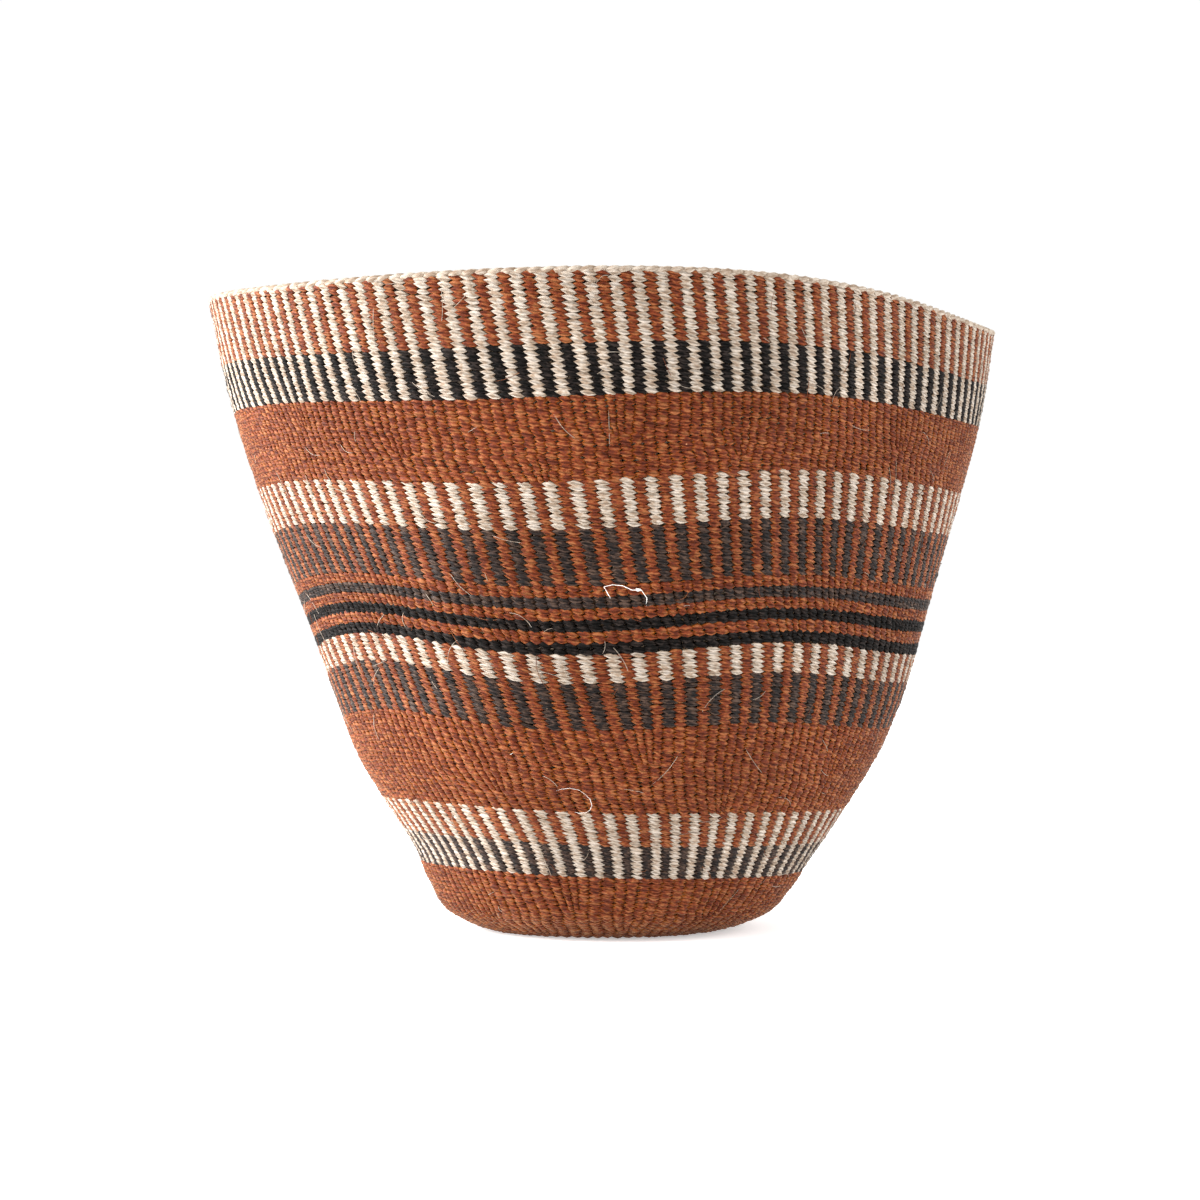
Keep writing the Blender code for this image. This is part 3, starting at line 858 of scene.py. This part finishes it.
        points = self.form.wall(angle, place, depth)
        radius = np.linalg.norm(points[:, :, :2], axis=2).mean(axis=1)
        strand = np.empty((count, len(grain.strand), 2))
        strand[:, :, 0] = grain.strand[:, 0] * (length * radius / MILLIMETRE)[:, None]
        strand[:, :, 0] += random.uniform(0, 400, count)[:, None]
        strand[:, :, 1] = grain.strand[:, 1]
        tint = np.clip(random.normal(0.5, 0.2, count), 0, 1)
        # Ridge is 1 at a stitch's crown and falls where the stitch dives towards its neighbours; the material
        # paints shade by it.
        open_side = lay.middle - lay.crown
        ridge = 1 - np.abs(depth - open_side) / (2 * abs(lay.crown))
        return Copies(grain, points, colour, strand, tint, np.clip(ridge, 0, 1))

    def dress(self) -> list[bpy.types.Object]:
        """Make the front strands of every band and the back strands of every inner piece.

        Returns:
            The pieces.
        """
        made = []
        for band in BANDS:
            rows = [row for row in self.rows if row.band is band]
            copies = self.stitches(rows, self.outer, self.outer_grain)
            piece = copies.piece(f"{band.node}_strands")
            made.append(settle(piece, band.slot, band.node))
        names = [band.node for band in BANDS]
        first = 0
        for node, end in INNER_ENDS.items():
            last = names.index(end) + 1
            rows = [row for row in self.rows if row.band.node in names[first:last]]
            copies = self.stitches(rows, self.inner, self.inner_grain)
            made.append(settle(copies.piece(f"{node}_strands"), INNER_SLOTS[node], node))
            first = last
        made.append(self.warps())
        return made

    def warps(self) -> bpy.types.Object:
        """Make the warp cords that stand in the wall, each from the row that it starts in.

        Returns:
            The piece.
        """
        shape = TubeSet()
        last = self.rows[-1]
        rows = [row for row in self.rows if row.arc > self.form.arc_at(self.warps_start)]
        for angle in last.angles:
            path, route = [], angle
            for number, row in enumerate(reversed(rows)):
                gaps = np.angle(np.exp(1j * (row.angles - route)))
                nearest = np.argmin(np.abs(gaps))
                if abs(gaps[nearest]) > FULL_TURN / len(row.angles) * self.warp_reach:
                    break
                route += gaps[nearest]
                if number % self.rows_per_point == 0:
                    path.append((route, row.arc))
            if len(path) > 1:
                angles, arcs = np.array(path).T
                arcs[0] += last.pitch / 2
                points = self.form.wall(angles, arcs, self.warp_depth)
                outer = self.form.wall(angles, arcs, 0.0)
                # The warps are painted wholly in shade, as they show only deep between the stitches.
                shape.add(points, outer - points, self.warp_radius, 4, ridge=0.0, spread=self.warp_spread)
        piece = shape.piece("warp_cords_in_wall", [Dye.NATURAL])
        return settle(piece, "sisal_natural", "warp_cords")


@dataclass
class Copies:
    """Copies of one stitch shape, each bent to the wall."""

    grain: Grain
    points: np.ndarray
    colour: np.ndarray
    strand: np.ndarray
    tint: np.ndarray
    ridge: np.ndarray

    def piece(self, name: str) -> bpy.types.Object:
        """Gather the copies in one mesh.

        Args:
            name: The piece's name.

        Returns:
            The piece, with a material for each dye that it uses.
        """
        count, size = self.points.shape[:2]
        dyes = sorted(set(self.colour.tolist()))
        faces = len(self.grain.starts)
        loops = len(self.grain.corners)
        mesh = bpy.data.meshes.new(name)
        mesh.vertices.add(count * size)
        mesh.vertices.foreach_set("co", self.points.astype(np.float32).ravel())
        mesh.loops.add(count * loops)
        corners = self.grain.corners + (np.arange(count) * size)[:, None]
        mesh.loops.foreach_set("vertex_index", corners.astype(np.int32).ravel())
        mesh.polygons.add(count * faces)
        starts = self.grain.starts + (np.arange(count) * loops)[:, None]
        mesh.polygons.foreach_set("loop_start", starts.astype(np.int32).ravel())
        slots = np.searchsorted(dyes, self.colour)
        mesh.update(calc_edges=True)
        mesh.polygons.foreach_set("material_index", np.repeat(slots, faces).astype(np.int32))
        strand = mesh.uv_layers.new(name=STRAND_MAP)
        strand.data.foreach_set("uv", self.strand.astype(np.float32).ravel())
        tint = mesh.attributes.new(TINT, "FLOAT", "POINT")
        tint.data.foreach_set("value", np.repeat(self.tint, size).astype(np.float32))
        ridge = mesh.attributes.new(RIDGE, "FLOAT", "POINT")
        ridge.data.foreach_set("value", self.ridge.astype(np.float32).ravel())
        for dye in dyes:
            mesh.materials.append(list(Dye)[dye].material())
        mesh.validate()
        mesh.shade_smooth()
        piece = bpy.data.objects.new(name, mesh)
        bpy.context.scene.collection.objects.link(piece)
        return piece


class TubeSet:
    """Tubes that follow paths, gathered in one mesh."""

    def __init__(self) -> None:
        """Start an empty mesh with a strand map and a tint."""
        self.shape = bmesh.new()
        self.strand = self.shape.loops.layers.uv.new(STRAND_MAP)
        self.tint = self.shape.verts.layers.float.new(TINT)
        self.ridge = self.shape.verts.layers.float.new(RIDGE)

    def add(
        self,
        points: np.ndarray,
        outward: np.ndarray,
        radius: float | np.ndarray,
        sides: int,
        closed: bool = False,
        material: int = 0,
        tint: float = 0.5,
        ridge: float | np.ndarray = 1.0,
        spread: float = 1.0,
    ) -> None:
        """Bend a grid into a tube along a path.

        Args:
            points: The path.
            outward: A direction across the path at each point.
            radius: The tube's radius, or one for each point.
            sides: How many sides it has.
            closed: Whether the path's end meets its start; otherwise the ends are points.
            material: Number of its material.
            tint: Its tint.
            ridge: How far it stands out into the light, from 0 to 1, or one for each point.
            spread: How many times wider across than outward it is.
        """
        if closed:
            points = np.vstack([points, points[:1]])
            outward = np.vstack([outward, outward[:1]])
            tangent = np.gradient(points, axis=0)
            tangent[0] = tangent[-1] = points[1] - points[-2]
        else:
            tangent = np.gradient(points, axis=0)
        rings = len(points)
        radii = np.broadcast_to(np.asarray(radius, float), (rings,)).copy()
        ridges = np.broadcast_to(np.asarray(ridge, float), (rings,))
        if not closed:
            radii[0] = radii[-1] = 0.0
        tangent /= np.linalg.norm(tangent, axis=1)[:, None]
        across = np.cross(tangent, outward)
        across /= np.linalg.norm(across, axis=1)[:, None]
        up = np.cross(across, tangent)
        made = bmesh.ops.create_grid(
            self.shape, x_segments=rings - 1, y_segments=sides, size=1.0, calc_uvs=True
        )["verts"]
        lengths = np.concatenate([[0], np.cumsum(np.linalg.norm(np.diff(points, axis=0), axis=1))])
        faces = {face for vertex in made for face in vertex.link_faces}
        for face in faces:
            face.material_index = material
            face.smooth = True
            for loop in face.loops:
                place = loop[self.strand].uv
                place.x *= lengths[-1] / MILLIMETRE
        for vertex in made:
            ring = round((vertex.co.x + 1) / 2 * (rings - 1))
            turn = FULL_TURN * round((vertex.co.y + 1) / 2 * sides) / sides
            arm = across[ring] * math.cos(turn) * spread + up[ring] * math.sin(turn)
            vertex.co = points[ring] + radii[ring] * arm
            vertex[self.tint] = tint
            vertex[self.ridge] = ridges[ring]
        bmesh.ops.remove_doubles(self.shape, verts=made, dist=1e-7)

    def piece(self, name: str, dyes: list[Dye]) -> bpy.types.Object:
        """Finish the mesh as an object.

        Args:
            name: The piece's name.
            dyes: The dyes of its materials, in order.

        Returns:
            The piece.
        """
        bmesh.ops.recalc_face_normals(self.shape, faces=self.shape.faces[:])
        mesh = bpy.data.meshes.new(name)
        self.shape.to_mesh(mesh)
        self.shape.free()
        for dye in dyes:
            mesh.materials.append(dye.material())
        piece = bpy.data.objects.new(name, mesh)
        bpy.context.scene.collection.objects.link(piece)
        return piece


@dataclass
class PlaitedRim:
    """Three cords plaited flat along the wall's top edge, which lock the ends of the warps."""

    form: BasketForm
    period: float = 0.0132
    cord_radius: float = 0.00108
    seat_height: float = 0.0018
    points_per_period: int = 12
    seed: int = 5

    def dress(self) -> bpy.types.Object:
        """Make the plait.

        Returns:
            The piece.
        """
        form = self.form
        half_width = form.wall_thickness / 2 + form.rim_overhang
        swing = half_width - self.cord_radius
        lift = form.rim_height / 2 - self.cord_radius
        around = FULL_TURN * (form.mouth_width + form.mouth_depth) / 4
        periods = round(around / self.period)
        count = periods * self.points_per_period
        angle = np.arange(count) * FULL_TURN / count
        top = np.full(count, form.wall_top)
        seat = form.points(angle, top, form.wall_thickness / 2)
        random = np.random.default_rng(self.seed)
        tubes = TubeSet()
        for strand in range(3):
            phase = angle * periods + FULL_TURN * strand / 3
            points = form.points(angle, top, form.wall_thickness / 2 - swing * np.cos(phase))
            points[:, 2] = seat[:, 2] + self.seat_height + lift * np.sin(2 * phase)
            up = np.tile([0.0, 0.0, 1.0], (count, 1))
            radius = self.cord_radius * (1 + 0.05 * random.normal(size=count))
            radius = np.append(radius, radius[0])
            # Painted shade where each strand dives under the next.
            ridge = np.append(0.3 + 0.6 * np.abs(np.cos(phase)), 0.9)
            tubes.add(points, up, radius, 8, closed=True, tint=0.45 + 0.1 * strand, ridge=ridge)
        core = form.points(angle, top, form.wall_thickness / 2)
        core[:, 2] = seat[:, 2] + self.seat_height * 0.8
        # The core lies mostly under the strands and is painted partly in shade.
        tubes.add(core, np.tile([0.0, 0.0, 1.0], (count, 1)), self.cord_radius, 6, closed=True, ridge=0.35)
        return settle(tubes.piece("rim_plait", [Dye.RIM]), "sisal_natural", "rim_braid")


@dataclass
class PhotoView:
    """The camera that the photograph was taken with, and where its pixels fall on the wall."""

    form: BasketForm
    focal_pixels: float = 3200.0
    frame_pixels: float = 1200.0
    sensor_mm: float = 36.0
    distance: float = 1.2308
    height: float = 0.1258
    offset: float = -0.00192

    def camera(self) -> bpy.types.Object:
        """Set up the camera, level and square to the basket's front."""
        data = bpy.data.cameras.new("photo_camera")
        data.sensor_width = self.sensor_mm
        data.lens = self.focal_pixels / self.frame_pixels * self.sensor_mm
        data.clip_start = 0.05
        camera = bpy.data.objects.new("photo_camera", data)
        camera.location = (self.offset, -self.distance, self.height)
        camera.rotation_euler = (math.pi / 2, 0.0, 0.0)
        bpy.context.scene.collection.objects.link(camera)
        bpy.context.scene.camera = camera
        return camera

    def pixels(self, points: np.ndarray) -> np.ndarray:
        """Where points show in the photograph."""
        away = points[:, 1] + self.distance
        middle = self.frame_pixels / 2
        x = middle + self.focal_pixels * (points[:, 0] - self.offset) / away
        y = middle - self.focal_pixels * (points[:, 2] - self.height) / away
        return np.stack([x, y], axis=-1)

    def on_wall(self, places: list[tuple[float, float]]) -> tuple[np.ndarray, np.ndarray]:
        """Find the wall under some pixels by steps of Newton's method.

        Args:
            places: The pixels.

        Returns:
            The angle round the basket and the distance along its section, for each pixel.
        """
        target = np.array(places)
        scale = self.focal_pixels / (self.distance - self.form.mouth_depth / 2)
        angle = np.full(len(target), -math.pi / 2) + (target[:, 0] - 605) / 480
        arc = self.form.arc_at(0.5) + (600 - target[:, 1]) / scale
        for _ in range(25):
            here = self.pixels(self.form.wall(angle, arc, 0.0))
            turned = (self.pixels(self.form.wall(angle + 1e-4, arc, 0.0)) - here) / 1e-4
            moved = (self.pixels(self.form.wall(angle, arc + 1e-5, 0.0)) - here) / 1e-5
            jacobian = np.stack([turned, moved], axis=-1)
            step = np.linalg.solve(jacobian, (target - here)[:, :, None])[:, :, 0]
            angle = angle + np.clip(step[:, 0], -0.1, 0.1)
            arc = arc + np.clip(step[:, 1], -0.02, 0.02)
        return angle, arc


@dataclass
class LooseEnds:
    """Stray sisal fibres on the wall, and the white thread left knotted on its front."""

    form: BasketForm
    view: PhotoView
    count: int = 420
    seed: int = 23
    fibre_radius: float = 0.00011
    thread_radius: float = 0.00013

    def dress(self) -> list[bpy.types.Object]:
        """Make the fibres and the thread.

        Returns:
            The pieces.
        """
        return [self.fibres(), self.thread()]

    def fibres(self) -> bpy.types.Object:
        """Scatter short fibres that lift off the wall and tuck back in."""
        random = np.random.default_rng(self.seed)
        tubes = TubeSet()
        low, high = self.form.arc_at(0.02), self.form.arc_at(self.form.wall_top)
        dyes = [Dye.NATURAL, Dye.RUST]
        for _ in range(self.count):
            arc = random.uniform(low, high)
            angle = random.uniform(0, FULL_TURN)
            length = random.uniform(0.004, 0.020)
            heading = random.uniform(0, math.pi)
            bend = random.normal(0, 0.9)
            steps = np.linspace(-0.5, 0.5, 9)
            radius = self.form.rest_width / 2 + arc / 2
            turn = heading + bend * steps
            run = np.cumsum(np.cos(turn)) * length / 9
            climb = np.cumsum(np.sin(turn)) * length / 9
            lift = 0.0007 * np.cos(math.pi * steps) ** 2 * random.uniform(0.3, 1.2)
            arcs = np.clip(arc + climb, low / 2, high)
            points = self.form.wall(angle + run / radius, arcs, 0.0004 - lift)
            deeper = self.form.wall(angle + run / radius, arcs, 0.0014)
            kind = int(random.uniform() < 0.4)
            tubes.add(points, points - deeper, self.fibre_radius, 3, material=kind, tint=random.uniform())
        return settle(tubes.piece("loose_fibres", dyes), "sisal_natural")

    def thread(self) -> bpy.types.Object:
        """Lay the white thread where the photograph shows it."""
        loop = [(613.6, 604.5), (608, 594), (604, 586.6), (613, 584.6), (623, 585.7), (632, 590),
                (641, 589.6), (647, 598), (646, 609)]
        curl = [(554, 792), (562, 789), (570, 788), (579, 790), (585, 794), (590, 799), (592, 805),
                (590, 810), (586, 812.5), (579, 813), (572, 812.5)]
        knot = [(633.5, 590), (637, 588.6), (640.2, 588.8), (640.4, 590.3), (637.4, 590.9), (635.4, 589.9),
                (638.5, 589.2), (642, 590.4)]
        fleck = [(509, 755.5), (511, 754), (513.5, 753)]
        tubes = TubeSet()
        routes = [(loop, self.thread_radius), (curl, self.thread_radius * 0.6),
                  (knot, self.thread_radius * 1.2), (fleck, self.thread_radius)]
        for route, radius in routes:
            angle, arc = self.view.on_wall(route)
            lift = np.full(len(angle), -radius)
            lift[0] = lift[-1] = 0.0006
            points = self.form.wall(angle, arc, lift)
            deeper = self.form.wall(angle, arc, 0.002)
            tubes.add(points, points - deeper, radius, 5)
        return settle(tubes.piece("white_thread", [Dye.THREAD]), "sisal_natural")


@dataclass
class Studio:
    """A white floor and soft light, strongest from the left."""

    floor_size: float = 12.0
    floor_glow: float = 0.42
    world_strength: float = 1.01

    def build(self) -> None:
        """Make the floor, the lights and the world."""
        self.floor()
        self.area("key_from_left", (-1.6, -0.25, 0.75), 1.6, 126.0)
        self.area("fill_from_right", (1.6, -0.20, 0.60), 1.0, 22.0)
        self.area("top_softbox", (0.0, -0.7, 2.0), 1.2, 11.0)
        world = bpy.data.worlds.new("studio_white")
        world.use_nodes = True
        background = world.node_tree.nodes["Background"]
        background.inputs["Color"].default_value = linear_colour("ffffff")
        background.inputs["Strength"].default_value = self.world_strength
        bpy.context.scene.world = world
        bpy.context.scene.view_settings.view_transform = "Standard"

    def floor(self) -> bpy.types.Object:
        """Make the floor, a flat matt white sheet."""
        shape = bmesh.new()
        bmesh.ops.create_grid(shape, x_segments=2, y_segments=2, size=self.floor_size / 2)
        mesh = bpy.data.meshes.new("studio_floor")
        shape.to_mesh(mesh)
        shape.free()
        material = bpy.data.materials.new("matt white paper")
        material.use_nodes = True
        tree = material.node_tree
        shader = tree.nodes["Principled BSDF"]
        shader.inputs["Roughness"].default_value = 0.9
        shader.inputs["Specular IOR Level"].default_value = 0.1
        shader.inputs["Emission Color"].default_value = linear_colour("ffffff")
        shader.inputs["Emission Strength"].default_value = self.floor_glow
        noise = add_node(tree, "ShaderNodeTexNoise", values={"Scale": 3.0})
        ramp = add_node(tree, "ShaderNodeValToRGB", links={0: noise.outputs[0]})
        ramp.color_ramp.elements[0].color = linear_colour("f7f6f5")
        ramp.color_ramp.elements[1].color = linear_colour("fcfbfa")
        tree.links.new(ramp.outputs[0], shader.inputs["Base Color"])
        mesh.materials.append(material)
        floor = bpy.data.objects.new("studio_floor", mesh)
        bpy.context.scene.collection.objects.link(floor)
        floor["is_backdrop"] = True
        return floor

    def area(self, name: str, place: tuple[float, float, float], size: float, power: float) -> None:
        """Add a soft light that points at the basket's middle.

        Args:
            name: The light's name.
            place: Where it stands.
            size: Its side.
            power: Its power in watts.
        """
        data = bpy.data.lights.new(name, "AREA")
        data.size = size
        data.energy = power
        light = bpy.data.objects.new(name, data)
        light.location = place
        aim = Vector((0.0, 0.0, 0.12)) - Vector(place)
        light.rotation_euler = aim.to_track_quat("-Z", "Y").to_euler()
        bpy.context.scene.collection.objects.link(light)


def settle(piece: bpy.types.Object, slot: str, node: str | None = None) -> bpy.types.Object:
    """Give a finished piece its body, hide the solid that it stands for, and log its triangles.

    Args:
        piece: The piece.
        slot: The record's material slot; not used.
        node: The solid that it replaces, if there is one.

    Returns:
        The piece.
    """
    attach(piece, BODY)
    if node:
        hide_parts(node)
    faces = sum(len(face.vertices) - 2 for face in piece.data.polygons)
    LOG.info("%s: %d triangles", piece.name, faces)
    return piece


def write_sizes() -> None:
    """Work out the solids' box and the dressed basket's box."""
    boxes = {"cad": CAD_BOUNDS, "visual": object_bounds()}
    plain = {name: [[float(v) for v in corner] for corner in box] for name, box in boxes.items()}


def main() -> None:
    """Build the basket's sub-assemblies in order, then the studio round it."""
    logging.basicConfig(level=logging.INFO, format="%(name)s: %(message)s")
    form = BasketForm()
    view = PhotoView(form)
    view.camera()
    Twining(form).dress()
    PlaitedRim(form).dress()
    LooseEnds(form, view).dress()
    Studio().build()
    write_sizes()


if __name__ == "__main__":
    main()
